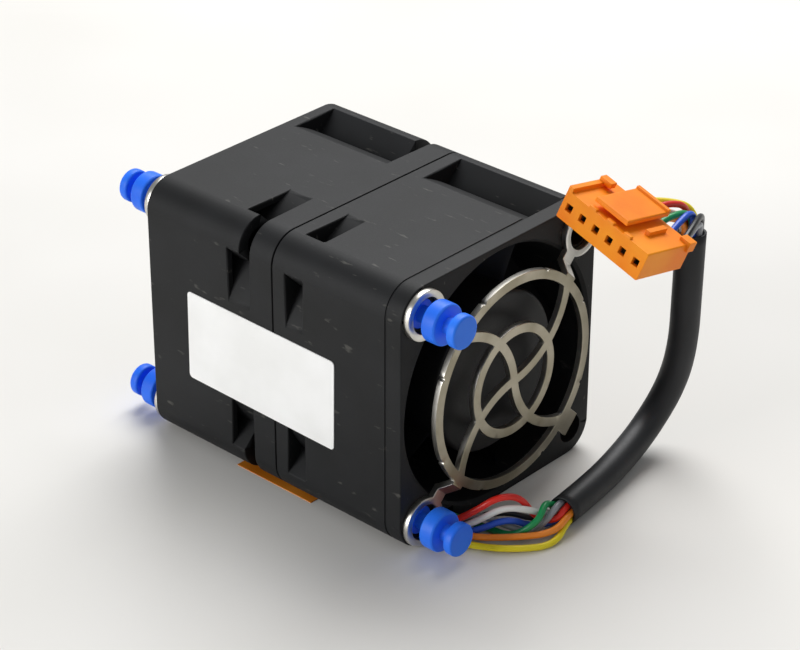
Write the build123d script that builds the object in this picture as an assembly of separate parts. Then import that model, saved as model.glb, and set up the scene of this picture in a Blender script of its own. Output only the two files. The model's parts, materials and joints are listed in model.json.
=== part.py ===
from build123d import *
import math
import os

os.makedirs("parts", exist_ok=True)

# Server cooling fan: two 40 mm frames back to back, each with its own motor and
# impeller, a wire finger guard on both ends, rubber isolator pins and a plug.
# X is the axis of both rotors with the intake at +X, Y runs across the frame with
# the label on the -Y side, Z is up, and Z = 0 is the face that the fan lies on.
# All sizes are in millimetres.

# Driving sizes of the two frames
side = 40.0
axis_height = side / 2
body_length = 48.0
front_face = body_length / 2
rear_face = front_face - body_length
split = 0.5
corner_radius = 4.4
hole_inset = 4.0
hole_spacing = side - 2 * hole_inset
hole_radius = 2.15
bore_margin = 1.1
bore_radius = side / 2 - bore_margin
duct_wall = 2.4
duct_radius = bore_radius + duct_wall
web_width = 6.0
skin_wall = 1.0
overrun = 1.0
fit_clearance = 0.05

# Axial bands of the front frame, counted back from its face and on from the split
front_end_flange = 2.6
front_mid_flange = 2.4
front_window = 3.3
mouth_flare = 0.45

# Axial bands of the rear frame
rear_end_flange = 2.0
rear_mid_flange = 4.3
rear_slot = 2.0
rear_window = 4.3

# Notches for the wires in the flanges, and the tape over the joint below
notch_width = 5.2
notch_height = 3.1
notch_y = -11.8
joint_notch_height = 2.9
channel_height = 2.2
tape_thickness = 0.12
tape_inset = 1.2
tape_inner_y = -6.0
tape_rear_lap = 0.5
tape_front_gap = 0.2

# Fine step behind the front flange
step_width = 0.3
step_depth = 0.15

# Half of the groove that the rounded edges leave at the joint of the frames
seam_width = 0.12
seam_depth = 0.3

# Motor carrier inside each frame
base_radius = 12.2
base_thickness = 1.6
strut_count = 4
strut_width = 2.0
strut_thickness = 1.6
strut_angle = 45.0

# Rotor
hub_wall = 1.0
hub_recess = 0.8
hub_edge = 0.8
rotor_gap = 4.0
tip_clearance = 0.4
tip_radius = bore_radius - tip_clearance
blade_start = 5.4
blade_recess = 3.6
blade_thickness = 1.1
blade_bow = 2.2
root_stagger = 34.0
tip_stagger = 48.0
front_blades = 5
rear_blades = 7
boss_radius = 3.2
boss_clearance = 0.3

cup_wall = 0.8
cup_clearance = 0.02
magnet_wall = 1.3
air_gap = 0.4

# Shaft and bearings
shaft_radius = 1.5
shaft_start = 0.5
bearing_outer = 3.0
bearing_width = 2.3
race_wall = 0.5
race_gap = 0.06
tube_wall = 0.9
tube_length = 14.6
tube_start = 0.4
clip_thickness = 0.4
clip_radius = 2.2
clip_groove = 0.25
washer_outer = 2.4
washer_thickness = 0.25
washer_dish = 0.5

# Stator
board_thickness = 1.0
board_radius = 11.0
stator_start = 7.4
stator_length = 6.4
pole_count = 4
pole_neck = 2.4
pole_shoe = 1.3
yoke_wall = 1.0
coil_build = 1.0
coil_gap = 0.15
coil_depth = 1.5

# Radii of the motor, worked out from the bearing tube to the hub
tube_outer = bearing_outer + tube_wall
yoke_outer = tube_outer + fit_clearance + yoke_wall
coil_in = yoke_outer + coil_gap
coil_out = coil_in + coil_depth
coil_side = pole_neck / 2 + coil_gap + coil_build
stator_outer = math.hypot(coil_out, coil_side) + coil_gap + pole_shoe
magnet_inner = stator_outer + air_gap
magnet_outer = magnet_inner + magnet_wall
cup_inner = magnet_outer + cup_clearance
cup_outer = cup_inner + cup_wall
hub_radius = cup_outer + cup_clearance + hub_wall

# Finger guard
guard_sheet = 0.9
guard_stand = 1.8
ring_inset = 2.9
ring_outer = bore_radius - ring_inset
rib_width = 1.4
inner_ring_outer = 8.4
spoke_sagitta = 2.7
eyelet_radius = 3.6
eyelet_hole = 2.6
leg_width = 2.3
leg_overlap = 0.8
leg_lead = 0.2
leg_slope_run = 1.5
stub_reach = 2.1
stub_width = 3.6
nick_radius = 0.3
nick_angle = 21.0
leg_root = ring_outer - leg_overlap
leg_bend_start = ring_outer + leg_lead
leg_bend_end = leg_bend_start + leg_slope_run
stub_end = ring_outer + stub_reach

# Isolator pins
insert_radius = hole_radius - fit_clearance
insert_depth = 9.0
neck_radius = 1.2
collar_radius = 2.95
collar_stand = 1.4
collar_length = 2.3
groove_length = 1.5
button_radius = 2.4
button_length = 1.45
pin_edge = 0.2

# Label
label_length = 28.2
label_height = 13.9
label_x = -2.2
label_drop = 1.1
label_z = axis_height - label_drop
label_thickness = 0.12
label_corner = 0.6
label_turn = -0.9

# Cable
wire_diameter = 0.95
sleeve_diameter = 4.3

# Plug: width along the row of circuits, depth from mouth to wires, and height
plug_corner = (25.4, 9.25, 41.25)
plug_width_axis = (0.958, -0.058, -0.281)
plug_up_axis = (0.287, 0.207, 0.935)
circuits = 6
pitch = 2.5
plug_width = 15.2
plug_depth = 10.0
plug_height = 4.25
circuit_height = 2.1
mouth_hole = 1.1
mouth_wall = 0.8
cavity_width = 1.7
cavity_height = 2.3
flare_width = 2.0
flare_height = 3.5
flare_depth = 0.9
left_rail_width = 0.8
left_rail_height = 0.7
left_rail_length = 8.4
right_rail_x = 11.2
right_rail_y = 3.8
right_rail_length = 4.0
hook_y = 6.5
hook_size = 1.3
hook_height = 1.3
hook_thickness = 0.8
lug_x = 13.7
lug_y = 8.7
lug_width = 1.9
lug_length = 1.6
lug_height = 0.5
rib_places = ((4.0, 1.3), (7.2, 1.3), (10.4, 1.3))
rib_height = 0.35
rib_depth = 0.7
plug_edge = 0.15
latch_x = 3.9
latch_width = 6.0
latch_front = 0.9
latch_length = 9.5
latch_lift = 0.7
latch_thickness = 0.75
latch_pivot_y = 5.2
pivot_radius = 0.45
pivot_clearance = 0.05
pivot_width = 2.0
latch_rib = 0.7
latch_rib_height = 0.4
contact_width = 1.5
contact_height = 1.7
contact_start = 0.9
contact_box = 4.6
contact_wall = 0.25
barrel_radius = 0.7
barrel_length = 3.3


def prism(profile, start, end):
    return extrude(Plane.YZ.offset(start) * profile, amount=end - start)


def ring(inner, outer, start, end):
    return prism(Circle(outer) - Circle(inner), start, end)


def lifted(shape):
    return Pos(0, 0, axis_height) * shape


def save(name, *solids):
    shape = solids[0] if len(solids) == 1 else Compound(children=list(solids))
    export_step(shape, f"parts/{name}.step")


# Frame sections, drawn about the axis
outline = RectangleRounded(side, side, corner_radius)
inner_outline = RectangleRounded(side - 2 * skin_wall, side - 2 * skin_wall, corner_radius - skin_wall)
webs = Rot(0, 0, 45) * Rectangle(2 * side, web_width) + Rot(0, 0, -45) * Rectangle(2 * side, web_width)
duct = Circle(duct_radius) & outline
core = duct + (webs & outline)
near_half = Pos(-side / 2, 0) * Rectangle(side, 2 * side)
skins = (outline - inner_outline) & near_half
shelled = core + skins
channel_mouth = Pos(notch_y, -axis_height) * Rectangle(2 * (axis_height + notch_y), 2 * skin_wall)
hole_places = [(y * hole_spacing / 2, z * hole_spacing / 2) for y in (-1, 1) for z in (-1, 1)]
holes = [Pos(*place) * Circle(hole_radius) for place in hole_places]


def drilled(section):
    for hole in holes:
        section = section - hole
    return section


front_split_end = split + front_mid_flange
front_skin_start = front_split_end + front_window
front_skin_end = front_face - front_end_flange
rear_split_end = split - rear_mid_flange
rear_slot_end = rear_split_end - rear_slot
rear_skin_end = rear_split_end - rear_window
rear_skin_start = rear_face + rear_end_flange


def carrier(start, direction):
    """Motor base and struts, from the plane at start towards direction."""
    end = start + direction * base_thickness
    strut_end = start + direction * strut_thickness
    low, high = min(start, end), max(start, end)
    base = ring(tube_outer + fit_clearance, base_radius, low, high)
    low, high = min(start, strut_end), max(start, strut_end)
    reach = (base_radius + duct_radius) / 2
    for index in range(strut_count):
        angle = strut_angle + 360 * index / strut_count
        bar = Rot(0, 0, angle) * Pos(reach, 0) * Rectangle(duct_radius - base_radius + hub_wall, strut_width)
        base = base + prism(bar & Circle(duct_radius - duct_wall / 2), low, high)
    return base


def tape_strip():
    """Flat tape under both frames, across the passage of the wires."""
    near = -side / 2 + tape_inset
    outline_of_tape = Pos((near + tape_inner_y) / 2, (tape_thickness - side) / 2) * Rectangle(
        tape_inner_y - near, tape_thickness)
    return prism(outline_of_tape, rear_skin_end - tape_rear_lap, front_skin_start - tape_front_gap)


tape = tape_strip()
seam = Rectangle(2 * side, 2 * side) - RectangleRounded(side - 2 * seam_depth, side - 2 * seam_depth,
                                                        corner_radius - seam_depth)

# Front frame
front_housing = prism(drilled(outline), split, front_split_end)
front_housing += prism(drilled(core), front_split_end, front_skin_start)
front_housing += prism(drilled(core + (skins - channel_mouth)), front_skin_start, front_skin_end)
front_housing += prism(drilled(outline), front_skin_end, front_face)
front_housing -= prism(Circle(bore_radius), split - overrun, front_face + overrun)
flare = Plane.YZ.offset(front_face - mouth_flare) * Circle(bore_radius)
flare_end = Plane.YZ.offset(front_face) * Circle(bore_radius + mouth_flare)
front_housing -= loft([flare, flare_end])
front_housing += carrier(split, 1)
front_housing -= prism(outline - RectangleRounded(side - 2 * step_depth, side - 2 * step_depth,
                                                  corner_radius - step_depth),
                       front_skin_end - step_width, front_skin_end)
notch = Pos(notch_y, -axis_height + (notch_height - overrun) / 2) * Rectangle(
    notch_width, notch_height + overrun)
front_housing -= prism(notch, front_skin_end - overrun, front_face + overrun)
joint_notch = Pos(notch_y, -axis_height + (joint_notch_height - overrun) / 2) * Rectangle(
    notch_width, joint_notch_height + overrun)
joint_cut = prism(joint_notch, rear_split_end - overrun, front_split_end + overrun)
channel = Pos(notch_y, -axis_height + (channel_height - overrun) / 2) * Rectangle(
    notch_width, channel_height + overrun)
front_housing -= prism(channel, split - overrun, front_face + overrun)
front_housing -= joint_cut
front_housing -= tape
front_housing -= prism(seam, split - overrun, split + seam_width)

# Rear frame
rear_housing = prism(drilled(outline), rear_split_end, split)
rear_housing += prism(drilled(duct), rear_slot_end, rear_split_end)
rear_housing += prism(drilled(core), rear_skin_end, rear_slot_end)
rear_housing += prism(drilled(shelled), rear_skin_start, rear_skin_end)
rear_housing += prism(drilled(outline), rear_face, rear_skin_start)
rear_housing -= prism(Circle(bore_radius), rear_face - overrun, split + overrun)
rear_housing += carrier(split, -1)
rear_housing -= joint_cut
rear_housing -= tape
rear_housing -= prism(seam, split - seam_width, split + overrun)

save("front_housing", lifted(front_housing))
save("rear_housing", lifted(rear_housing))
save("wire_tape", lifted(tape))


# One motor, drawn from the split plane along +X
def blade(axial_start, axial_end, hand):
    sections = []
    middle = (axial_start + axial_end) / 2
    half = (axial_end - axial_start) / 2
    radii = (hub_radius - 2 * hub_wall, (hub_radius + tip_radius) / 2, tip_radius)
    staggers = (root_stagger, (root_stagger + tip_stagger) / 2, tip_stagger)
    for radius, stagger in zip(radii, staggers):
        swing = hand * half * math.tan(math.radians(stagger))
        nose = (middle - half, -swing)
        tail = (middle + half, swing)
        bow = hand * blade_bow
        upper = ThreePointArc(nose, (middle, bow), tail)
        lower = ThreePointArc(tail, (middle, bow - blade_thickness), nose)
        profile = make_face([upper, lower])
        sections.append(Plane.XY.offset(radius) * profile)
    return loft(sections)


def motor(prefix, length, blades, hand, place):
    hub_end = length - hub_recess
    blade_end = length - blade_recess
    cup_end = hub_end - hub_wall - cup_clearance
    board_start = base_thickness
    stator_end = stator_start + stator_length
    tube_end = tube_start + tube_length
    shaft_end = cup_end - cup_wall

    hub = prism(Circle(hub_radius), rotor_gap, hub_end)
    hub = fillet(hub.edges().group_by(Axis.X)[-1], hub_edge)
    hub -= prism(Circle(hub_radius - hub_wall), rotor_gap - overrun, hub_end - hub_wall)
    envelope = ring(hub_radius - hub_wall / 2, tip_radius, 0, length)
    for index in range(blades):
        hub += Rot(360 * index / blades, 0, 0) * (blade(blade_start, blade_end, hand) & envelope)
    cup = prism(Circle(cup_outer), rotor_gap, cup_end)
    cup -= prism(Circle(cup_inner), rotor_gap - overrun, cup_end - cup_wall)
    boss_start = tube_end + fit_clearance + washer_dish + boss_clearance
    cup += prism(Circle(boss_radius), boss_start, cup_end - cup_wall)
    cup -= prism(Circle(shaft_radius), 0, shaft_end)
    magnet = ring(magnet_inner, magnet_outer, rotor_gap, stator_end + coil_build)

    shaft = prism(Circle(shaft_radius), shaft_start, shaft_end)
    groove_start = tube_start + fit_clearance
    shaft -= ring(shaft_radius - clip_groove, shaft_radius + overrun, groove_start,
                  groove_start + clip_thickness)
    clip = ring(shaft_radius - clip_groove, clip_radius, groove_start, groove_start + clip_thickness)
    first_bearing = groove_start + clip_thickness + fit_clearance
    second_bearing = tube_end - bearing_width
    inner_rings = []
    outer_rings = []
    for start in (first_bearing, second_bearing):
        end = start + bearing_width
        inner_rings.append(ring(shaft_radius, shaft_radius + race_wall, start, end))
        outer_rings.append(ring(shaft_radius + race_wall + race_gap, bearing_outer, start, end))
    tube = ring(bearing_outer, tube_outer, tube_start, tube_end)
    washer_start = tube_end + fit_clearance
    washer_end = washer_start + washer_dish
    washer = (loft([Plane.YZ.offset(washer_start) * Circle(shaft_radius + race_wall),
                    Plane.YZ.offset(washer_end) * Circle(washer_outer)])
              - prism(Circle(shaft_radius + fit_clearance), washer_start - overrun, washer_end + overrun))

    board = ring(tube_outer + fit_clearance, board_radius, board_start, board_start + board_thickness)
    stator_profile = Circle(yoke_outer)
    for index in range(pole_count):
        turn = Rot(0, 0, 45 + 360 * index / pole_count)
        stator_profile += turn * Pos(stator_outer / 2, 0) * Rectangle(stator_outer, pole_neck)
    shoes = Circle(stator_outer) - Circle(stator_outer - pole_shoe)
    for index in range(pole_count):
        slot = Rot(0, 0, 360 * index / pole_count) * Pos(stator_outer, 0)
        shoes -= slot * Rectangle(2 * pole_shoe + pole_neck, pole_neck / 2)
    stator_profile = (stator_profile & Circle(stator_outer)) + shoes
    stator_profile -= Circle(tube_outer + fit_clearance)
    stator = prism(stator_profile, stator_start, stator_end)

    coils = []
    for index in range(pole_count):
        turn = Rot(45 + 360 * index / pole_count, 0, 0)
        width = pole_neck + 2 * coil_gap
        block = Box(stator_length + 2 * coil_build, width + 2 * coil_build, coil_out - coil_in)
        block = fillet(block.edges().filter_by(Axis.Z), coil_build)
        block -= Box(stator_length + 2 * coil_gap, width, 2 * stator_outer)
        middle = Pos((stator_start + stator_end) / 2, 0, (coil_in + coil_out) / 2)
        coils.append(turn * (middle * block))

    pieces = {
        "impeller": [hub], "rotor_cup": [cup], "magnet_ring": [magnet], "shaft": [shaft],
        "shaft_clip": [clip], "bearing_inner_rings": inner_rings, "preload_washer": [washer],
        "bearing_outer_rings": outer_rings, "bearing_tube": [tube], "circuit_board": [board],
        "stator_core": [stator], "windings": coils,
    }
    for name, solids in pieces.items():
        save(f"{prefix}_{name}", *[place * solid for solid in solids])


front_place = Location((split, 0, axis_height))
rear_place = Location((split, 0, axis_height), (0, 0, 180))
motor("front", front_face - split, front_blades, 1, front_place)
motor("rear", split - rear_face, rear_blades, -1, rear_place)


# Finger guard, drawn for the front: seated on the face, ring standing off on joggled legs
def guard():
    face = front_face
    back = face + guard_stand
    leg_angles = (45, 135, 225, 315)
    stub_angle = 315
    rib_line = ring_outer - rib_width / 2
    inner_line = inner_ring_outer - rib_width / 2
    plate = Circle(ring_outer) - Circle(ring_outer - rib_width)
    plate += Circle(inner_line + rib_width / 2) - Circle(inner_line - rib_width / 2)
    for angle in leg_angles:
        bend = ThreePointArc((0, 0), (rib_line / 2, -spoke_sagitta), (rib_line, 0))
        plate += Rot(0, 0, angle) * trace(bend, rib_width)
        for turn in (-nick_angle, nick_angle):
            plate -= Rot(0, 0, angle + turn) * Pos(ring_outer, 0) * Circle(nick_radius)
    stub = Pos((ring_outer - leg_overlap + stub_end) / 2, 0) * Rectangle(
        stub_end - ring_outer + leg_overlap, stub_width)
    plate += Rot(0, 0, stub_angle) * stub
    shape = prism(plate, back, back + guard_sheet)
    eye_distance = hole_spacing / math.sqrt(2)
    middle_high = back + guard_sheet / 2
    middle_low = face + guard_sheet / 2
    run = Polyline((middle_high, leg_root), (middle_high, leg_bend_start),
                   (middle_low, leg_bend_end), (middle_low, eye_distance))
    strip = Rot(90, 0, 0) * extrude(trace(run, guard_sheet), amount=leg_width / 2, both=True)
    strip -= Pos(middle_low, 0, eye_distance) * Rot(0, 90, 0) * Cylinder(eyelet_hole, overrun + guard_stand)
    for angle in leg_angles:
        if angle == stub_angle:
            continue
        shape += Rot(angle - 90, 0, 0) * strip
        centre = Pos(eye_distance * math.cos(math.radians(angle)), eye_distance * math.sin(math.radians(angle)))
        eye = centre * (Circle(eyelet_radius) - Circle(eyelet_hole))
        shape += prism(eye, face, face + guard_sheet)
    return shape


guard_shape = guard()
save("front_guard", lifted(guard_shape))
save("rear_guard", lifted(Rot(180, 0, 0) * Rot(0, 0, 180) * guard_shape))


# Isolator pin: plug in the screw hole, shaft, collar, snap groove and end button
def isolator():
    collar_start = front_face + collar_stand + guard_sheet
    collar_end = collar_start + collar_length
    button_start = collar_end + groove_length
    button_end = button_start + button_length
    pin = prism(Circle(insert_radius), front_face - insert_depth, front_face)
    pin += prism(Circle(neck_radius), front_face, button_end)
    collar = prism(Circle(collar_radius), collar_start, collar_end)
    button = prism(Circle(button_radius), button_start, button_end)
    pin += chamfer(collar.edges().filter_by(GeomType.CIRCLE), pin_edge)
    pin += chamfer(button.edges().filter_by(GeomType.CIRCLE), pin_edge)
    return pin


pin_shape = isolator()
for height_name, height in (("upper", 1), ("lower", -1)):
    y = -hole_spacing / 2
    z = height * hole_spacing / 2
    save(f"front_{height_name}_isolator_pin", lifted(Pos(0, y, z) * pin_shape))
    save(f"rear_{height_name}_isolator_pin", lifted(Pos(0, y, z) * Rot(0, 0, 180) * pin_shape))

# Label on the -Y side
label_plane = Plane(origin=(label_x, -side / 2, label_z), x_dir=(1, 0, 0), z_dir=(0, -1, 0))
label_face = Rot(0, 0, label_turn) * RectangleRounded(label_length, label_height, label_corner)
save("label", extrude(label_plane * label_face, amount=label_thickness))


# Plug, drawn with X across the circuits, Y from the mouth to the wires and Z up
plug_plane = Plane(origin=plug_corner, x_dir=plug_width_axis, z_dir=plug_up_axis)


def block(x, y, z, width, depth, height):
    return Pos(x, y, z) * Box(width, depth, height, align=(Align.MIN, Align.MIN, Align.MIN))


circuit_x = [plug_width / 2 + pitch * (index - (circuits - 1) / 2) for index in range(circuits)]


def plug_body():
    body = block(0, 0, 0, plug_width, plug_depth, plug_height)
    body = chamfer(body.edges().filter_by(Axis.Y), plug_edge)
    body += block(0, 0, plug_height - overrun, left_rail_width, left_rail_length, left_rail_height + overrun)
    hook = block(0, hook_y, plug_height, left_rail_width + hook_size, hook_size, hook_height)
    body += hook - block(left_rail_width, hook_y - overrun, plug_height, plug_width, plug_depth,
                         hook_height - hook_thickness)
    body += block(right_rail_x, right_rail_y, plug_height - overrun, left_rail_width, right_rail_length,
                  left_rail_height + overrun)
    body += block(lug_x, lug_y, plug_height - overrun, lug_width, lug_length, lug_height + overrun)
    for x, width in rib_places:
        body += block(x, 0, plug_height - overrun, width, rib_depth, rib_height + overrun)
    for x in circuit_x:
        middle = Pos(x, 0, circuit_height)
        hole = middle * Box(mouth_hole, 2 * plug_depth, mouth_hole)
        shallow = plug_depth - mouth_wall
        cavity = Pos(0, mouth_wall + shallow / 2, 0) * middle * Box(cavity_width, shallow, cavity_height)
        flare = Pos(0, plug_depth, 0) * middle * Box(flare_width, 2 * flare_depth, flare_height)
        body -= hole + cavity + flare
    post = block(latch_x + (latch_width - pivot_width) / 2, latch_pivot_y - pivot_radius * 2,
                 plug_height - overrun, pivot_width, pivot_radius * 4,
                 latch_lift + overrun - 2 * pivot_clearance)
    socket = Pos(latch_x, latch_pivot_y, plug_height + latch_lift) * Rot(0, 90, 0) * Cylinder(
        pivot_radius + pivot_clearance, 4 * latch_width)
    return body + (post - socket)


def latch_plate():
    floor = plug_height + latch_lift
    plate = block(latch_x, latch_front, floor + pivot_clearance, latch_width, latch_length, latch_thickness)
    plate = chamfer(plate.edges().group_by(Axis.Z)[-1], plug_edge)
    plate += block(latch_x, latch_front + latch_length - latch_rib, floor + latch_thickness, latch_width,
                   latch_rib, latch_rib_height)
    pivot = Pos(latch_x + latch_width / 2, latch_pivot_y, floor) * Rot(0, 90, 0) * Cylinder(
        pivot_radius, pivot_width)
    return plate + pivot


def contacts():
    solids = []
    for x in circuit_x:
        middle = Pos(x, 0, circuit_height)
        box = middle * Pos(0, contact_start + contact_box / 2, 0) * Box(contact_width, contact_box, contact_height)
        bore_width = contact_width - 2 * contact_wall
        bore_height = contact_height - 2 * contact_wall
        box -= middle * Pos(0, contact_start, 0) * Box(bore_width, 2 * (contact_box - contact_wall), bore_height)
        barrel = middle * Pos(0, contact_start + contact_box + barrel_length / 2, 0) * Rot(90, 0, 0) * Cylinder(
            barrel_radius, barrel_length)
        solids.append(plug_plane.location * (box + barrel))
    return solids


save("connector_housing", plug_plane.location * plug_body())
save("connector_latch", plug_plane.location * latch_plate())
save("connector_contacts", *contacts())


# Cable: a sleeve that lies on the table and rises to the plug, eight wires in it
def tube_along(name, points, diameter):
    radii = []
    for before, here, after in zip(points, points[1:], points[2:]):
        run_in = Vector(*here) - Vector(*before)
        run_out = Vector(*after) - Vector(*here)
        turn = math.radians(run_in.get_angle(run_out))
        radii.append(0.45 * min(run_in.length, run_out.length) / math.tan(turn / 2))
    path = FilletPolyline(*points, radius=radii) if radii else Polyline(*points)
    start = Plane(origin=path @ 0, z_dir=path % 0)
    solid = sweep(start * Circle(diameter / 2), path=path)
    expected = math.pi * diameter ** 2 / 4 * path.length
    shown = ", ".join(f"{radius:.1f}" for radius in radii)
    print(f"{name}: length {path.length:.1f}, radii {shown}, volume ratio {solid.volume / expected:.4f}")
    return solid


# Points of each route. The lower part of a wire runs from the joint of the frames to the
# sleeve, the upper part from the sleeve to its terminal.
sleeve_route = [(35.3, 0.7, 2.3), (34.4, 8.5, 2.2), (32.9, 16.5, 2.35), (31.4, 24.3, 3.6),
                (32.6, 28.3, 9.6), (34.2, 28.2, 17), (34.6, 27.7, 26), (34.4, 28.1, 34.8)]
lower_routes = {
    "red": [(4, -11.78, 1.49), (9.5, -11.92, 1.49), (15, -11.78, 1.49), (20.6, -11.86, 1.49),
        (25.9, -11.52, 2.12), (29.33, -9.96, 4.13), (32.67, -7, 4.67), (35.99, -2.83, 3.56),
        (35.58, 0.75, 3.52)],
    "black": [(4, -10.28, 0.61), (9.5, -10.42, 0.61), (15, -10.28, 0.61), (20.6, -10.36, 0.61),
        (25.75, -10.05, 0.65), (28.68, -8.69, 1.36), (31.52, -6.19, 1.44), (34.94, -2.98, 1.37),
        (34.53, 0.6, 1.32)],
    "white": [(4, -11.28, 0.61), (9.5, -11.42, 0.61), (15, -11.28, 0.61), (20.6, -11.36, 0.61),
        (25.88, -11.35, 0.95), (29.58, -10.46, 2.31), (33.35, -7.47, 2.62), (35.71, -2.88, 2.35),
        (35.3, 0.7, 2.3)],
    "grey": [(4, -10.78, 1.49), (9.5, -10.92, 1.49), (15, -10.78, 1.49), (20.6, -10.86, 1.49),
        (25.8, -10.54, 1.84), (28.9, -9.13, 3.23), (31.92, -6.47, 3.55), (34.94, -2.95, 3.32),
        (34.52, 0.62, 3.28)],
    "blue": [(4, -12.28, 0.61), (9.5, -12.42, 0.61), (15, -12.28, 0.61), (20.6, -12.36, 0.61),
        (25.99, -12.37, 0.51), (30.06, -11.41, 0.9), (34.23, -8.09, 0.86), (35.99, -2.86, 1.13),
        (35.58, 0.72, 1.08)],
    "green": [(4, -9.78, 1.49), (9.5, -9.92, 1.49), (15, -9.78, 1.49), (20.6, -9.86, 1.49),
        (25.7, -9.56, 1.62), (28.46, -8.25, 2.53), (31.12, -5.91, 2.67), (34.47, -3.02, 2.35),
        (34.06, 0.56, 2.3)],
    "orange": [(4, -12.78, 1.49), (9.5, -12.92, 1.49), (15, -12.78, 1.49), (20.6, -12.86, 1.49),
        (26.04, -12.79, 1.43), (30.18, -11.64, 1.91), (34.4, -8.21, 1.9), (36.83, -2.74, 2.89),
        (36.42, 0.84, 2.84)],
    "yellow": [(4, -13.33, 0.61), (9.5, -13.47, 0.61), (15, -13.33, 0.61), (20.6, -13.41, 0.61),
        (26.11, -13.46, 0.49), (30.62, -12.5, 0.85), (35.27, -8.82, 0.8), (36.83, -2.75, 1.8),
        (36.42, 0.82, 1.76)],
}
upper_routes = {
    "red": [(34.12, 29.32, 34.74), (34.05, 29.45, 37.7), (34.39, 28.07, 40.36), (34.12, 25.75, 42.18),
        (33.53, 22.91, 42.8), (32.83, 20.72, 41.63), (32.22, 18.91, 39.91)],
    "black": [(35.18, 29.08, 34.77), (35.12, 29.19, 37.31), (35.78, 28.26, 39.59), (36.58, 26.42, 41.16),
        (37.47, 24.1, 41.68), (38.55, 21.05, 40.15), (39.4, 18.48, 37.8)],
    "white": [(33.27, 27.56, 34.8), (33.22, 27.66, 37.03), (32.79, 26.78, 39.04), (32.09, 25.16, 40.42),
        (31.25, 23.14, 40.88), (30.38, 21, 40.8), (29.65, 18.93, 40.05)],
    "grey": [(35.65, 28.1, 34.83), (35.61, 28.18, 36.57), (35.82, 27.44, 38.15), (36.26, 26.14, 39.22),
        (36.82, 24.52, 39.59), (37.99, 21.21, 38.52), (39.06, 18.23, 36.68)],
    "blue": [(35.18, 27.12, 34.86), (35.14, 27.21, 36.64), (35.07, 26.4, 38.24), (35.28, 25.01, 39.33),
        (35.64, 23.31, 39.7), (36.24, 20.75, 39.23), (36.84, 18.5, 37.94)],
    "green": [(34.4, 28.1, 34.8), (34.35, 28.2, 37.08), (34.56, 27.2, 39.14), (34.63, 25.4, 40.55),
        (34.61, 23.16, 41.02), (34.51, 20.74, 40.15), (34.44, 18.64, 38.64)],
    "orange": [(34.12, 26.88, 34.85), (34.08, 26.96, 36.57), (33.69, 26.28, 38.11),
        (33.29, 24.99, 39.17), (32.87, 23.36, 39.53), (32.33, 21, 39.31), (31.88, 18.67, 38.78)],
    "yellow": [(33.27, 28.64, 34.75), (33.21, 28.77, 37.3), (31.88, 28.11, 39.5), (30.45, 26.3, 41.1),
        (29.08, 23.9, 41.75), (28, 21.4, 41.55), (27.26, 19.08, 40.75)],
}

save("cable_sleeve", tube_along("cable_sleeve", sleeve_route, sleeve_diameter))
for colour in lower_routes:
    lower = tube_along(f"wire_{colour} lower", lower_routes[colour], wire_diameter)
    upper = tube_along(f"wire_{colour} upper", upper_routes[colour], wire_diameter)
    save(f"wire_{colour}", lower, upper)
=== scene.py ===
import json
import math

import bmesh
import bpy
from mathutils import Matrix, Vector


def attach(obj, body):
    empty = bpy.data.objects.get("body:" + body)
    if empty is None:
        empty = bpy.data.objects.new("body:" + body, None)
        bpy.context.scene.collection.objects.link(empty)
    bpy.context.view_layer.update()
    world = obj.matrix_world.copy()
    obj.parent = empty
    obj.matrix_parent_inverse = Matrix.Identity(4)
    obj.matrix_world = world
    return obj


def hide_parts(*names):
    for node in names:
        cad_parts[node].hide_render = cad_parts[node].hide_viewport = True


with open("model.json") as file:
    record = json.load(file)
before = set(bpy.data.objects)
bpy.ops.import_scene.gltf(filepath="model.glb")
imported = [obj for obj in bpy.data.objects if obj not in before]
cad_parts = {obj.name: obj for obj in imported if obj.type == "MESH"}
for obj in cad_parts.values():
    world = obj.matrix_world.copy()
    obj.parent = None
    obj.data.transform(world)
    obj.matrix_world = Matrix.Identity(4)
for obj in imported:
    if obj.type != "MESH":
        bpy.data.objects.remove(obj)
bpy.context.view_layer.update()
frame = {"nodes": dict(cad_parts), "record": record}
mm = 0.001
nodes = frame["nodes"]
print("frame loaded:", len(nodes), "nodes")


# helpers for colours, shader nodes, meshes and objects
def linearColour(hexCode):
    channels = []
    for start in (1, 3, 5):
        value = int(hexCode[start:start + 2], 16) / 255
        channels.append(value / 12.92 if value <= 0.04045 else ((value + 0.055) / 1.055) ** 2.4)
    return (*channels, 1.0)


def addNode(tree, kind, values=None, links=None, **settings):
    node = tree.nodes.new(kind)
    for key, value in settings.items():
        setattr(node, key, value)
    for key, value in (values or {}).items():
        node.inputs[key].default_value = value
    for key, socket in (links or {}).items():
        tree.links.new(socket, node.inputs[key])
    return node


def newMaterial(name):
    material = bpy.data.materials.new(name)
    material.use_nodes = True
    tree = material.node_tree
    tree.nodes.clear()
    shader = addNode(tree, "ShaderNodeBsdfPrincipled")
    addNode(tree, "ShaderNodeOutputMaterial", links={"Surface": shader.outputs["BSDF"]})
    place = addNode(tree, "ShaderNodeTexCoord").outputs["Object"]
    return material, tree, shader, place


def noiseField(tree, place, size, detail):
    values = {"Scale": 1 / (size * mm), "Detail": detail}  # one feature is about size mm across
    return addNode(tree, "ShaderNodeTexNoise", values, {"Vector": place}).outputs["Fac"]


def blendRamp(tree, factor, tones, span):
    ramp = addNode(tree, "ShaderNodeValToRGB", links={"Fac": factor})
    for element, position, hexCode in zip(ramp.color_ramp.elements, span, tones):
        element.position = position
        element.color = linearColour(hexCode)
    return ramp.outputs["Color"]


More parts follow.
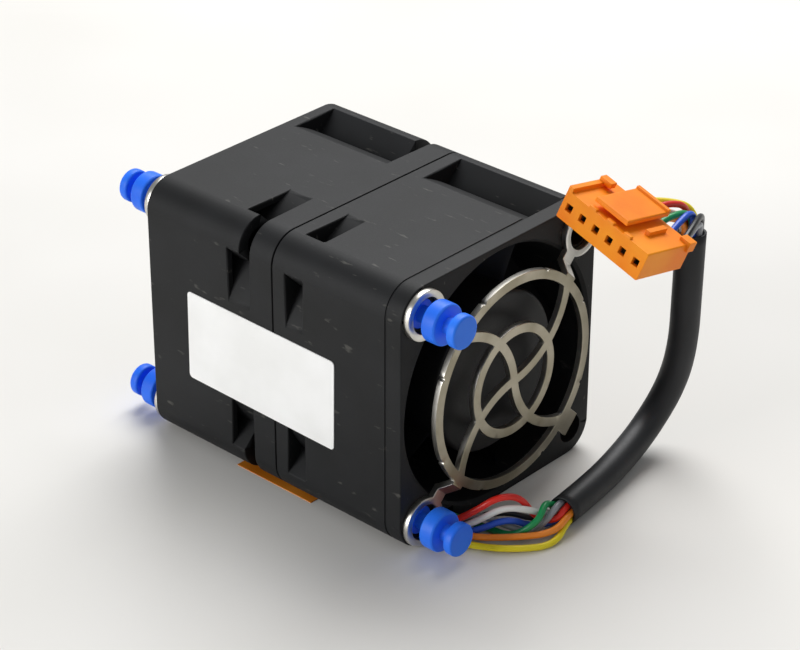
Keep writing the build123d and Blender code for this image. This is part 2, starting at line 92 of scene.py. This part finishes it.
def addGrain(tree, shader, grain, roughness, look, depth):
    low, high = roughness - look["shinier"], roughness + look["duller"]
    spread = addNode(tree, "ShaderNodeMapRange", {"To Min": low, "To Max": high}, {"Value": grain})
    relief = {"Strength": look["relief"], "Distance": depth * mm}
    bump = addNode(tree, "ShaderNodeBump", relief, {"Height": grain})
    tree.links.new(spread.outputs[0], shader.inputs["Roughness"])
    tree.links.new(bump.outputs[0], shader.inputs["Normal"])


def addObject(name, data):
    thing = bpy.data.objects.new(name, data)
    bpy.context.scene.collection.objects.link(thing)
    return thing


def evaluatedMesh(thing):
    graph = bpy.context.evaluated_depsgraph_get()
    return bpy.data.meshes.new_from_object(thing.evaluated_get(graph))


def smoothFaces(data):
    for face in data.polygons:
        face.use_smooth = True


# moulded plastic and rubber: two close tones in clouds, a fine grain in gloss and height, pale scuffs;
# cloud and scuff are sizes in mm
moulded = {"cloud": 9, "cloudDetail": 3.0, "cloudSpan": (0.35, 0.65),
           "grainDetail": 2.0, "shinier": 0.05, "duller": 0.07, "relief": 0.35,
           "scuff": 3.4, "scuffDetail": 6.0, "scuffSpan": (0.66, 0.74), "scuffShare": 0.4,
           "scuffStretch": (1.0, 5.0, 3.0), "scuffTurn": (0.3, 0.2, 0.5)}


def scuffedColour(tree, place, colour, scuffTone):
    slant = {"Scale": moulded["scuffStretch"], "Rotation": moulded["scuffTurn"]}
    stretched = addNode(tree, "ShaderNodeMapping", slant, {"Vector": place}).outputs[0]
    scuff = noiseField(tree, stretched, moulded["scuff"], moulded["scuffDetail"])
    low, high = moulded["scuffSpan"]
    limits = {"From Min": low, "From Max": high, "To Max": moulded["scuffShare"]}
    mask = addNode(tree, "ShaderNodeMapRange", limits, {"Value": scuff})
    # sockets 0, 6 and 7 of a colour mix are its factor and its two colours
    mixed = addNode(tree, "ShaderNodeMix", {7: linearColour(scuffTone)}, {0: mask.outputs[0], 6: colour},
                    data_type="RGBA")
    return mixed.outputs[2]


# grain is the size and depth the height of the mould's texture, both in mm
def mouldedPlastic(name, dark, light, roughness, grain, depth, ior=1.5, gloss=0.5, scuffTone=None):
    material, tree, shader, place = newMaterial(name)
    cloud = noiseField(tree, place, moulded["cloud"], moulded["cloudDetail"])
    colour = blendRamp(tree, cloud, (dark, light), moulded["cloudSpan"])
    if scuffTone:
        colour = scuffedColour(tree, place, colour, scuffTone)
    tree.links.new(colour, shader.inputs["Base Color"])
    fine = noiseField(tree, place, grain, moulded["grainDetail"])
    addGrain(tree, shader, fine, roughness, moulded, depth)
    shader.inputs["IOR"].default_value = ior
    shader.inputs["Specular IOR Level"].default_value = gloss
    return material


# turned, drawn or stacked metal: its fine grain is stretched along the tool marks;
# cloud and grain are sizes and depth is the height of the grain, all in mm
turned = {"cloud": 4, "cloudDetail": 4.0, "cloudSpan": (0.3, 0.7),
          "grainDetail": 3.0, "shinier": 0.08, "duller": 0.1, "relief": 0.2, "depth": 0.02}


def turnedMetal(name, dark, light, roughness, grain, stretch=(1.0, 1.0, 1.0)):
    material, tree, shader, place = newMaterial(name)
    cloud = noiseField(tree, place, turned["cloud"], turned["cloudDetail"])
    tree.links.new(blendRamp(tree, cloud, (dark, light), turned["cloudSpan"]), shader.inputs["Base Color"])
    stretched = addNode(tree, "ShaderNodeMapping", {"Scale": stretch}, {"Vector": place}).outputs[0]
    fine = noiseField(tree, stretched, grain, turned["grainDetail"])
    addGrain(tree, shader, fine, roughness, turned, turned["depth"])
    shader.inputs["Metallic"].default_value = 1.0
    return material


# stamped sheet: rougher outer faces whose grey is tinted warm khaki by a painted reflection of a tan
# table, and sheared edges and pressed eyelets painted brighter, partly burnished metal and partly a
# painted highlight; stain is a size, faceLevel the distance of the outer faces from the middle and blend a
# depth, in mm
plated = {"stain": 5, "stainDetail": 3.0, "stainSpan": (0.35, 0.65), "faceLevel": 26.58, "blend": 0.04,
          "faceTonesWithTableReflection": ("#99927f", "#b3ac9b"), "edgeTonesWithHighlight": ("#c9c6be", "#e2dfd8"),
          "faceRoughness": 0.38, "edgeRoughness": 0.32}


def platedSheet(name):
    material, tree, shader, place = newMaterial(name)
    stain = noiseField(tree, place, plated["stain"], plated["stainDetail"])
    # the face tones carry a painted reflection of a tan table, the edge tones a painted highlight on
    # burnished metal
    dullFaceWithReflection = blendRamp(tree, stain, plated["faceTonesWithTableReflection"], plated["stainSpan"])
    brightEdgeWithHighlight = blendRamp(tree, stain, plated["edgeTonesWithHighlight"], plated["stainSpan"])
    axes = addNode(tree, "ShaderNodeSeparateXYZ", None, {"Vector": place})
    away = addNode(tree, "ShaderNodeMath", None, {0: axes.outputs["X"]}, operation="ABSOLUTE")
    span = {"From Min": plated["faceLevel"] * mm, "From Max": (plated["faceLevel"] + plated["blend"]) * mm}
    onFace = addNode(tree, "ShaderNodeMapRange", span, {"Value": away.outputs[0]}).outputs[0]
    mixed = addNode(tree, "ShaderNodeMix", None, {0: onFace, 6: brightEdgeWithHighlight, 7: dullFaceWithReflection}, data_type="RGBA")
    limits = {"To Min": plated["edgeRoughness"], "To Max": plated["faceRoughness"]}
    spread = addNode(tree, "ShaderNodeMapRange", limits, {"Value": onFace})
    tree.links.new(mixed.outputs[2], shader.inputs["Base Color"])
    tree.links.new(spread.outputs[0], shader.inputs["Roughness"])
    shader.inputs["Metallic"].default_value = 1.0
    return material


# how the grain of a metal is stretched along X, the fan's axis, and across it
axialMarks = (0.3, 3.0, 3.0)  # long along the axis, close round it
sheetStack = (8.0, 0.6, 0.6)  # close along the axis, as the edges of stacked sheets are
coilWires = (0.4, 3.0, 3.0)  # long along the axis, as the wires lie on the poles

finishes = {
    # glass-filled PBT from a spark-eroded mould: matt black whose grain greys under the light
    "frame_plastic": mouldedPlastic("spark_eroded_pbt", "#0f1011", "#161719", roughness=0.58, grain=0.18,
                                    depth=0.03, gloss=0.28, scuffTone="#6a6862"),
    # smoother PBT of the rotors: a shade bluer and a little shinier
    "rotor_plastic": mouldedPlastic("polished_pbt", "#0f0f10", "#151517", roughness=0.48, grain=0.3,
                                    depth=0.01, gloss=0.35),
    # nickel-plated spring steel: faces with a painted tan reflection, edges with a painted highlight
    "plated_steel": platedSheet("nickel_plated_steel"),
    # silicone rubber dyed blue: strong even colour with a soft sheen
    "blue_silicone": mouldedPlastic("dyed_silicone", "#1f66ea", "#2e7cf8", roughness=0.42, grain=0.5,
                                    depth=0.012, ior=1.43, gloss=0.35),
    # turned steel: cool grey with fine lines that streak the highlights
    "motor_steel": turnedMetal("turned_steel", "#8d8f92", "#b4b6b8", 0.28, 0.12, axialMarks),
    # bonded ferrite: dull dark grey, dry as slate
    "magnet": mouldedPlastic("bonded_ferrite", "#2e2d2f", "#39383a", roughness=0.66, grain=0.12,
                             depth=0.02),
    # turned brass: warm yellow with the same fine lines
    "brass": turnedMetal("turned_brass", "#a98647", "#caa765", 0.25, 0.12, axialMarks),
    # stacked silicon steel sheet: dull grey with close lines between the sheets
    "laminations": turnedMetal("silicon_steel_sheet", "#67696c", "#8e9194", 0.42, 0.25, sheetStack),
    # enamelled copper wire: red brown with shine that breaks from wire to wire
    "copper": turnedMetal("enamelled_copper", "#8e421a", "#c9702f", 0.30, 0.2, coilWires),
    # solder mask on a circuit board: deep green gloss
    "board": mouldedPlastic("solder_mask", "#0d4a26", "#14602f", roughness=0.30, grain=0.4,
                            depth=0.006),
    # satin polyester film: near white, almost without texture
    "label_film": mouldedPlastic("satin_polyester", "#f0f0ee", "#f7f7f6", roughness=0.42, grain=0.25,
                                 depth=0.006),
    # polyimide film tape: glossy amber
    "amber_tape": mouldedPlastic("polyimide_film", "#c4701a", "#dc8a2c", roughness=0.22, grain=0.8,
                                 depth=0.01, ior=1.6),
    # soft PVC tube: black with a broad weak sheen along its length
    "sleeve_black": mouldedPlastic("soft_pvc_tube", "#191a1c", "#232427", roughness=0.50, grain=0.6,
                                   depth=0.012, gloss=0.4),
    # dyed nylon: saturated orange, satin
    "plug_orange": mouldedPlastic("dyed_nylon", "#f8820a", "#ff9a14", roughness=0.46, grain=0.3,
                                  depth=0.008, gloss=0.22),
    # tinned bronze: pale bright metal at the bottom of the plug's cavities
    "tin": turnedMetal("tinned_bronze", "#b8b6b1", "#d3d1cc", 0.26, 0.2),
}
wireTones = {"red": ("#d42015", "#e52d20"), "black": ("#161616", "#222222"),
             "white": ("#dcdcd8", "#ececea"), "grey": ("#84878c", "#9a9da2"),
             "blue": ("#1f4fc4", "#2a60da"), "green": ("#0f8a4c", "#18995a"),
             "orange": ("#f08420", "#f8952e"), "yellow": ("#e8d412", "#f2e01e")}
for colour, (dark, light) in wireTones.items():  # extruded PVC: clear colours, slightly waxy
    finishes["wire_" + colour] = mouldedPlastic("pvc_" + colour, dark, light, roughness=0.34, grain=0.5,
                                                depth=0.008)

slotOf = {part["node"]: part["material_slot"] for part in frame["record"]["subparts"]}
bodies = frame["record"]["behaviour"]["bodies"]
bodyOf = {member: body for body, members in bodies.items() for member in members}
for name, node in nodes.items():
    node.data.materials.clear()
    node.data.materials.append(finishes[slotOf[name]])
print("finishes set:", len(finishes))


# rigid pieces get copies with the small radii of the real edges, in mm
softening = {"front_housing": 0.24, "rear_housing": 0.24, "front_guard": 0.07, "rear_guard": 0.07,
             "connector_housing": 0.08, "connector_latch": 0.1,
             "front_upper_isolator_pin": 0.2, "front_lower_isolator_pin": 0.2,
             "rear_upper_isolator_pin": 0.2, "rear_lower_isolator_pin": 0.2}
# angles in degrees and weld in mm; an edge shorter than shortEdge times its radius takes a smaller one
bevel = {"segments": 2, "sharpAngle": 32, "flatAngle": 1.0, "weld": 0.002, "shortEdge": 2.4,
         "endNormal": 0.99}
# the outer skin of both frames in mm, with the two places along it whose edges stay crisper: the step
# of the front flange, and the groove where the frames meet
shell = {"half": 20.0, "corner": 4.4, "slack": 0.06, "step": (21.0, 21.5), "split": 0.5, "seam": 0.3,
         "crispShare": 0.4}


def isFrameHousing(name):
    return name in ("front_housing", "rear_housing")


def onOuterSkin(point):
    across, height = abs(point.y / mm), abs(point.z / mm - shell["half"])
    centre = shell["half"] - shell["corner"]
    if min(across, height) <= centre:
        return max(across, height) >= shell["half"] - shell["slack"]
    return math.hypot(across - centre, height - centre) >= shell["corner"] - shell["slack"]


def isSharp(edge):
    return edge.calc_face_angle(0.0) >= math.radians(bevel["sharpAngle"])


def edgeShare(edge, name, radius):
    if len(edge.link_faces) != 2 or not isSharp(edge):
        return 0.0
    if isFrameHousing(name):
        if not all(onOuterSkin(vertex.co) for vertex in edge.verts):
            return 0.0
        along = edge.verts[0].co.x / mm
        first, last = shell["step"]
        if first <= along <= last or abs(along - shell["split"]) < shell["seam"]:
            return shell["crispShare"]
    return min(1.0, edge.calc_length() / (bevel["shortEdge"] * radius * mm))


# faces round the duct, a guard's holes or the plug's cavities keep their triangles: one polygon there
# would close the hole once its rim is rounded
def mayMerge(edge, name):
    if name == "connector_housing":
        return False
    if not name.endswith(("housing", "guard")):
        return True
    return all(abs(face.normal.x) < bevel["endNormal"] for face in edge.link_faces)


def softenedCopy(node, radius):
    form = bmesh.new()
    form.from_mesh(node.data)
    bmesh.ops.remove_doubles(form, verts=form.verts, dist=bevel["weld"] * mm)
    form.normal_update()
    flat = [edge for edge in form.edges if mayMerge(edge, node.name)]
    bmesh.ops.dissolve_limit(form, angle_limit=math.radians(bevel["flatAngle"]), verts=[], edges=flat)
    bmesh.ops.recalc_face_normals(form, faces=form.faces)
    weight = form.edges.layers.float.new("bevel_weight_edge")
    for edge in form.edges:
        edge[weight] = edgeShare(edge, node.name, radius)
        edge.smooth = edge[weight] > 0 or not isSharp(edge)
    data = bpy.data.meshes.new(node.name + "_soft")
    form.to_mesh(data)
    form.free()
    data.materials.append(finishes[slotOf[node.name]])
    smoothFaces(data)
    piece = addObject(node.name + "_soft", data)
    rounding = piece.modifiers.new("rounding", "BEVEL")
    rounding.width = radius * mm
    rounding.segments = bevel["segments"]
    rounding.limit_method = "WEIGHT"
    rounding.use_clamp_overlap = False
    flatFaces = piece.modifiers.new("flat_faces", "WEIGHTED_NORMAL")
    flatFaces.keep_sharp = True
    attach(piece, bodyOf[node.name])
    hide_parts(node.name)


for name, radius in softening.items():
    softenedCopy(nodes[name], radius)
print("edges softened:", len(softening))


# rotors, in mm and degrees: one blade and a hub in mesh code, the blades set round it by Geometry Nodes
rotor = {"split": 0.5, "axis": 20.0,
         "hub": 12.0, "wall": 1.0, "start": 4.0, "recess": 0.8, "edge": 0.8, "edgeSteps": 6, "rim": 0.15,
         "dimple": (5.2, 5.0), "dimpleDepth": 0.12, "hubSteps": 96,
         "tip": 18.5, "bladeStart": 5.4, "bladeRecess": 3.6, "bow": 2.2, "thickness": 1.1,
         "rootStagger": 34.0, "tipStagger": 48.0, "rootSink": 0.6, "tipThinShare": 0.35,
         "skinShare": 1.05, "tailThinShare": 0.25, "bladeRows": 12, "bladeSteps": 28, "splitAngle": 50,
         "front": {"length": 23.5, "blades": 5, "hand": 1},
         "rear": {"length": 24.5, "blades": 7, "hand": -1}}


def meshObject(name, vertices, faces, material):
    data = bpy.data.meshes.new(name)
    data.from_pydata([Vector(vertex) * mm for vertex in vertices], [], faces)
    data.materials.append(material)
    return addObject(name, data)


def bladeForm(end):
    length, hand = rotor[end]["length"], rotor[end]["hand"]
    first, last = rotor["bladeStart"], length - rotor["bladeRecess"]
    middle, half = (first + last) / 2, (last - first) / 2
    rows, around = rotor["bladeRows"], rotor["bladeSteps"]
    root = rotor["hub"] - rotor["rootSink"]
    vertices = []
    for row in range(rows):
        share = row / (rows - 1)
        radius = root + share * (rotor["tip"] - root)
        stagger = math.radians(rotor["rootStagger"] + share * (rotor["tipStagger"] - rotor["rootStagger"]))
        thick = rotor["thickness"] * (1.0 - rotor["tipThinShare"] * share)
        for step in range(around):
            turn = 2 * math.pi * step / around
            along = -math.cos(turn)  # nose at -1, tail at +1
            skin = math.sin(turn) * thick / 2 * (rotor["skinShare"] - rotor["tailThinShare"] * along)
            camber = rotor["bow"] * (1 - along * along) - thick / 2
            angle = hand * (along * half * math.tan(stagger) + camber + skin) / radius
            vertices.append((middle + along * half, radius * math.sin(angle), radius * math.cos(angle)))
    faces = [tuple(range(around)), tuple(range((rows - 1) * around, rows * around))]
    for row in range(rows - 1):
        for step in range(around):
            here, ahead = row * around + step, row * around + (step + 1) % around
            faces.append((here, ahead, ahead + around, here + around))
    return vertices, faces


def hubProfile(end):
    start, radius, edge, wall = rotor["start"], rotor["hub"], rotor["edge"], rotor["wall"]
    nose, rim, steps = rotor[end]["length"] - rotor["recess"], rotor["rim"], rotor["edgeSteps"]
    profile = [(start, radius - wall), (start, radius - rim), (start + rim, radius)]
    for step in range(steps + 1):
        turn = math.pi / 2 * step / steps
        profile.append((nose - edge + edge * math.sin(turn), radius - edge + edge * math.cos(turn)))
    outer, inner = rotor["dimple"]
    floor = nose - rotor["dimpleDepth"]
    profile += [(nose, outer), (floor, inner), (floor, 0.0)]
    return profile + [(nose - wall, 0.0), (nose - wall, radius - wall)]  # back along the inside of the hub


def hubForm(end):
    steps = rotor["hubSteps"]
    vertices, faces, rings = [], [], []
    for along, out in hubProfile(end):
        count = steps if out > 0 else 1  # a ring on the axis is one point
        rings.append([len(vertices) + step for step in range(count)])
        for step in range(count):
            turn = 2 * math.pi * step / steps
            vertices.append((along, out * math.cos(turn), out * math.sin(turn)))
    for ring, following in zip(rings, rings[1:] + rings[:1]):
        if len(ring) == len(following) == 1:
            continue  # no face between two points on the axis
        for step in range(steps):
            ahead = (step + 1) % steps
            if len(ring) == 1:
                faces.append((ring[0], following[ahead], following[step]))
            elif len(following) == 1:
                faces.append((ring[step], ring[ahead], following[0]))
            else:
                faces.append((ring[step], ring[ahead], following[ahead], following[step]))
    return vertices, faces


def ringTree(name):
    tree = bpy.data.node_groups.new(name, "GeometryNodeTree")
    tree.interface.new_socket("Blade", in_out="INPUT", socket_type="NodeSocketGeometry")
    tree.interface.new_socket("Blades", in_out="INPUT", socket_type="NodeSocketInt")
    tree.interface.new_socket("Finish", in_out="INPUT", socket_type="NodeSocketMaterial")
    tree.interface.new_socket("Ring", in_out="OUTPUT", socket_type="NodeSocketGeometry")
    given = addNode(tree, "NodeGroupInput").outputs
    line = addNode(tree, "GeometryNodeMeshLine", {"Offset": (0, 0, 0)}, {"Count": given["Blades"]})
    index = addNode(tree, "GeometryNodeInputIndex")
    step = addNode(tree, "ShaderNodeMath", {0: 2 * math.pi}, {1: given["Blades"]}, operation="DIVIDE")
    turn = addNode(tree, "ShaderNodeMath", None, {0: index.outputs[0], 1: step.outputs[0]},
                   operation="MULTIPLY")
    about = addNode(tree, "ShaderNodeCombineXYZ", None, {"X": turn.outputs[0]})
    copies = addNode(tree, "GeometryNodeInstanceOnPoints", None,
                     {"Points": line.outputs["Mesh"], "Instance": given["Blade"],
                      "Rotation": about.outputs[0]})
    real = addNode(tree, "GeometryNodeRealizeInstances", None, {0: copies.outputs[0]})
    coat = addNode(tree, "GeometryNodeSetMaterial", None,
                   {"Geometry": real.outputs[0], "Material": given["Finish"]})
    addNode(tree, "NodeGroupOutput", None, {0: coat.outputs[0]})
    return tree


def setInput(modifier, tree, label, value):
    for item in tree.interface.items_tree:
        if item.item_type == "SOCKET" and item.in_out == "INPUT" and item.name == label:
            modifier[item.identifier] = value


def bladeRing(end, bladeTree, material):
    blade = meshObject(end + "_blade", *bladeForm(end), material)
    spread = blade.modifiers.new("ring", "NODES")
    spread.node_group = bladeTree
    setInput(spread, bladeTree, "Blades", rotor[end]["blades"])
    setInput(spread, bladeTree, "Finish", material)
    ring = evaluatedMesh(blade)
    bpy.data.objects.remove(blade)
    return ring


def placeRotor(end, bladeTree):
    material = finishes["rotor_plastic"]
    form = bmesh.new()
    form.from_mesh(bladeRing(end, bladeTree, material))
    hub = meshObject(end + "_hub", *hubForm(end), material)
    form.from_mesh(hub.data)
    bpy.data.objects.remove(hub)
    bmesh.ops.recalc_face_normals(form, faces=form.faces)
    turn = Matrix.Identity(4) if end == "front" else Matrix.Rotation(math.pi, 4, "Z")
    form.transform(Matrix.Translation(Vector((rotor["split"], 0, rotor["axis"])) * mm) @ turn)
    data = bpy.data.meshes.new(end + "_rotor")
    form.to_mesh(data)
    form.free()
    data.materials.clear()
    data.materials.append(material)
    smoothFaces(data)
    piece = addObject(end + "_rotor", data)
    sharp = piece.modifiers.new("edges", "EDGE_SPLIT")
    sharp.split_angle = math.radians(rotor["splitAngle"])
    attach(piece, end + "_rotor")
    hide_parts(end + "_impeller")


bladeTree = ringTree("blade_ring")
for end in ("front", "rear"):
    placeRotor(end, bladeTree)
print("rotors set")


# cable, in mm: eight wires from the joint of the frames through a sleeve to the plug
cable = {"wireWidth": 0.95, "sleeveWidth": 4.3, "sleeveWall": 0.38, "curveSteps": 10, "wireFacets": 5,
         "sleeveFacets": 10}
sleeveRoute = [(35.3, 0.7, 2.3), (34.4, 8.5, 2.2), (32.9, 16.5, 2.35), (31.4, 24.3, 3.6),
               (32.6, 28.3, 9.6), (34.2, 28.2, 17), (34.6, 27.7, 26), (34.4, 28.1, 34.8)]
# under the front frame every wire passes these places along X, and sways by so much in Y
underStations = ((4, 0), (9.5, 0.14), (15, 0), (20.6, 0.08))
# of each wire: Y and Z under the frame, the loose run to the sleeve, and the rise from it to the plug
wireRoutes = {
    "red": {
        "under": (-11.78, 1.49),
        "loose": [(25.4, -11.72, 1.91), (28.4, -9.61, 4.31), (30.6, -7.8, 6.6), (32.14, -4.71, 5.98),
                  (33.09, -2.52, 1.83), (35.98, -1.62, 2.1), (35.86, 0.78, 3.42)],
        "rise": [(33.27, 28.64, 34.75), (33.3, 28.59, 36.54), (33.24, 27.7, 38.67), (32.9, 25, 39.8),
                 (32.5, 22.2, 40.2), (32.3, 20.5, 40.2), (32.22, 18.91, 39.91)]},
    "black": {
        "under": (-10.28, 0.61),
        "loose": [(25.87, -10.32, 0.74), (27.81, -8.03, 2.51), (30.18, -4.83, 2.7),
                  (32.88, -2.45, 1.44), (34.31, 0.58, 1.54)],
        "rise": [(35.18, 29.08, 34.77), (35.2, 29.15, 36.3), (35.95, 28.03, 37.9), (37.02, 25.61, 38.5),
                 (38, 23.2, 38.6), (38.8, 20.9, 38.4), (39.4, 18.48, 37.8)]},
    "white": {
        "under": (-11.28, 0.61),
        "loose": [(25.85, -11.33, 0.96), (28.74, -9.77, 2.83), (31.25, -7.15, 5), (33.47, -4.52, 4.3),
                  (34.05, -2.06, 2.74), (35.3, 0.7, 2.3)],
        "rise": [(33.27, 27.56, 34.8), (33.25, 27.6, 36.2), (32.9, 26.6, 37.5), (32.2, 24.9, 38.5),
                 (31.2, 22.9, 39.2), (30.4, 21, 39.9), (29.65, 18.93, 40.05)]},
    "grey": {
        "under": (-10.78, 1.49),
        "loose": [(25.77, -10.5, 1.95), (28.09, -8.98, 3.4), (30.24, -6.67, 1.78), (33.46, -4.26, 0.21),
                  (35.19, -3.22, 2.2), (35.42, -1.22, 3.73), (34.77, 0.65, 3.43)],
        "rise": [(35.65, 28.1, 34.83), (35.75, 28.21, 35.89), (36.25, 27.39, 36.89), (36.72, 25.7, 37.3),
                 (37.4, 24, 37.4), (38.2, 21.2, 37.2), (39.06, 18.23, 36.68)]},
    "blue": {
        "under": (-12.28, 0.61),
        "loose": [(25.98, -12.32, 0.5), (28.9, -10.15, 1.49), (31.53, -6.52, 3.04), (33.3, -3.18, 0.72),
                  (35.28, 0.68, 1.05)],
        "rise": [(35.18, 27.12, 34.86), (35.19, 27.22, 36.58), (35.45, 26.83, 38.28), (35.7, 25.2, 39.1),
                 (36.1, 23.05, 38.95), (36.45, 20.8, 38.5), (36.84, 18.5, 37.94)]},
    "green": {
        "under": (-9.78, 1.49),
        "loose": [(25.52, -9.05, 1.37), (28.52, -7.25, 0.43), (32.8, -6.8, 0.6), (35.46, -4.56, 3.34),
                  (34, -1.65, 4.42), (34.09, 0.56, 2.6)],
        "rise": [(34.4, 28.1, 34.8), (34.34, 28.16, 36.41), (34.36, 27.02, 37.94), (34.57, 25.2, 38.8),
                 (34.6, 23.1, 39.2), (34.5, 20.8, 39.1), (34.44, 18.64, 38.64)]},
    "orange": {
        "under": (-12.78, 1.49),
        "loose": [(26.09, -12.89, 1.66), (29.65, -11.09, 1.25), (33.61, -8.01, 1.52),
                  (37.1, -3.26, 1.45), (36.52, 0.84, 2.56)],
        "rise": [(34.12, 26.88, 34.85), (34.1, 26.95, 36), (33.7, 26.2, 37), (33.3, 24.9, 37.7),
                 (32.9, 23.3, 38.2), (32.3, 21, 38.7), (31.88, 18.67, 38.78)]},
    "yellow": {
        "under": (-13.33, 0.61),
        "loose": [(26.11, -13.46, 0.7), (30.6, -11.9, 0.6), (35, -9, 0.74), (38.03, -4.12, 0.32),
                  (36.27, 0.8, 1.51)],
        "rise": [(34.12, 29.32, 34.74), (33.99, 29.56, 36.12), (32.84, 29.18, 37.96),
                 (30.99, 27.22, 38.7), (29.4, 24.2, 39.4), (28.2, 21.4, 40.2), (27.26, 19.08, 40.75)]},
}


def splineCurve(name, points, material, width=0.0, facets=0):
    data = bpy.data.curves.new(name, "CURVE")
    data.dimensions = "3D"
    data.resolution_u = cable["curveSteps"]
    data.bevel_depth = width / 2 * mm
    data.bevel_resolution = facets
    spline = data.splines.new("NURBS")
    spline.points.add(len(points) - 1)
    for point, place in zip(spline.points, points):
        point.co = (place[0] * mm, place[1] * mm, place[2] * mm, 1.0)
    spline.order_u = 3
    spline.use_endpoint_u = True
    data.materials.append(material)
    return addObject(name, data)


def smoothLine(name, points):
    guide = splineCurve(name, points, finishes["sleeve_black"])
    places = [tuple(vertex.co) for vertex in evaluatedMesh(guide).vertices]
    bpy.data.objects.remove(guide)
    return places


def lineLength(places):
    return sum((Vector(after) - Vector(before)).length for before, after in zip(places, places[1:]))


def carryAlong(route, offset):
    heading = (route[1] - route[0]).normalized()
    carried = []
    for before, after in zip(route, route[2:]):  # the offset turns with the route at each inner point
        ahead = (after - before).normalized()
        offset = heading.rotation_difference(ahead) @ offset
        heading = ahead
        carried.append(offset)
    return carried


# a wire enters and leaves the sleeve at its own places, and shifts evenly from one to the other inside
def insideSleeve(entry, leave):
    route = [Vector(point) for point in sleeveRoute]
    onward = carryAlong(route, Vector(entry) - route[0])
    back = carryAlong(route[::-1], Vector(leave) - route[-1])[::-1]
    places = []
    for index, here in enumerate(route[1:-1]):
        share = (index + 1) / (len(route) - 1)
        places.append(tuple(here + onward[index] * (1 - share) + back[index] * share))
    return places


def wireRoute(colour):
    across, height = wireRoutes[colour]["under"]
    under = [(along, across - sway, height) for along, sway in underStations]
    loose, rise = wireRoutes[colour]["loose"], wireRoutes[colour]["rise"]
    return under + loose + insideSleeve(loose[-1], rise[0]) + rise


def layWire(colour):
    route = wireRoute(colour)
    wire = splineCurve("wire_run_" + colour, route, finishes["wire_" + colour], cable["wireWidth"],
                       cable["wireFacets"])
    wire.data.use_fill_caps = True
    length = lineLength(smoothLine("guide_" + colour, route))
    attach(wire, "frame")
    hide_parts("wire_" + colour)


def laySleeve():
    centre = smoothLine("guide_sleeve", sleeveRoute)
    curve = splineCurve("sleeve_form", sleeveRoute, finishes["sleeve_black"], cable["sleeveWidth"],
                        cable["sleeveFacets"])
    sleeve = addObject("sleeve_tube", evaluatedMesh(curve))
    bpy.data.objects.remove(curve)
    wall = sleeve.modifiers.new("wall", "SOLIDIFY")
    wall.thickness = cable["sleeveWall"] * mm
    wall.offset = -1.0  # inwards from the curve's surface
    smoothFaces(sleeve.data)
    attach(sleeve, "frame")
    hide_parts("cable_sleeve")


for colour in wireRoutes:
    layWire(colour)
laySleeve()
print("cable laid")


# floor, lamps, camera and surroundings
table = {"half": 0.9, "cloud": 60, "cloudDetail": 2.0, "cloudSpan": (0.3, 0.7),
         "tones": ("#dcdad5", "#e2e0dc"), "roughness": 0.6}  # half is in metres, cloud in mm
lampTarget = (0, 0, 0.02)  # the middle of the fan; places and sides in metres, power in watts
lamps = {"back_softbox": {"place": (-0.20, 0.34, 0.56), "side": 0.50, "power": 5.1},
         "left_fill": {"place": (-0.26, -0.70, 0.24), "side": 0.35, "power": 3.4},
         "right_fill": {"place": (0.6, -0.1, 0.4), "side": 0.4, "power": 0.25}}
photoView = {"lens": 117.78, "sensor": 36.0, "place": (221.11, -236.33, 201.61),  # in mm
             "right": (0.73780, 0.67501, 0.00282), "up": (-0.33428, 0.36174, 0.87029),
             "ahead": (-0.58643, 0.64304, -0.49254), "clip": (0.01, 10.0)}  # clip is in metres
surroundings = {"tone": "#e9ebee", "strength": 0.30}


def paleFloor():
    half = table["half"]
    data = bpy.data.meshes.new("table_top")
    corners = [(-half, -half, 0), (half, -half, 0), (half, half, 0), (-half, half, 0)]
    data.from_pydata(corners, [], [(0, 1, 2, 3)])
    material, tree, shader, place = newMaterial("pale_board")  # smooth pale board, faint wide clouds
    cloud = noiseField(tree, place, table["cloud"], table["cloudDetail"])
    tree.links.new(blendRamp(tree, cloud, table["tones"], table["cloudSpan"]), shader.inputs["Base Color"])
    shader.inputs["Roughness"].default_value = table["roughness"]
    data.materials.append(material)
    addObject("table_top", data)


def softLamp(name):
    data = bpy.data.lights.new(name, "AREA")
    data.size = lamps[name]["side"]
    data.energy = lamps[name]["power"]
    place = Vector(lamps[name]["place"])
    lamp = addObject(name, data)
    lamp.location = place
    lamp.rotation_euler = (Vector(lampTarget) - place).to_track_quat("-Z", "Y").to_euler()


def photoCamera():
    data = bpy.data.cameras.new("photo_view")
    data.lens, data.sensor_width = photoView["lens"], photoView["sensor"]
    data.clip_start, data.clip_end = photoView["clip"]
    camera = addObject("photo_view", data)
    back = -Vector(photoView["ahead"])
    turn = Matrix((photoView["right"], photoView["up"], back)).transposed().to_4x4()
    turn.translation = Vector(photoView["place"]) * mm
    camera.matrix_world = turn
    bpy.context.scene.camera = camera


def paleSurroundings():
    world = bpy.data.worlds.new("studio")
    bpy.context.scene.world = world
    world.use_nodes = True
    background = world.node_tree.nodes["Background"]
    background.inputs["Color"].default_value = linearColour(surroundings["tone"])
    background.inputs["Strength"].default_value = surroundings["strength"]


paleFloor()
for name in lamps:
    softLamp(name)
photoCamera()
paleSurroundings()
bpy.context.scene.view_settings.view_transform = "Standard"
print("studio ready")

bpy.context.view_layer.update()
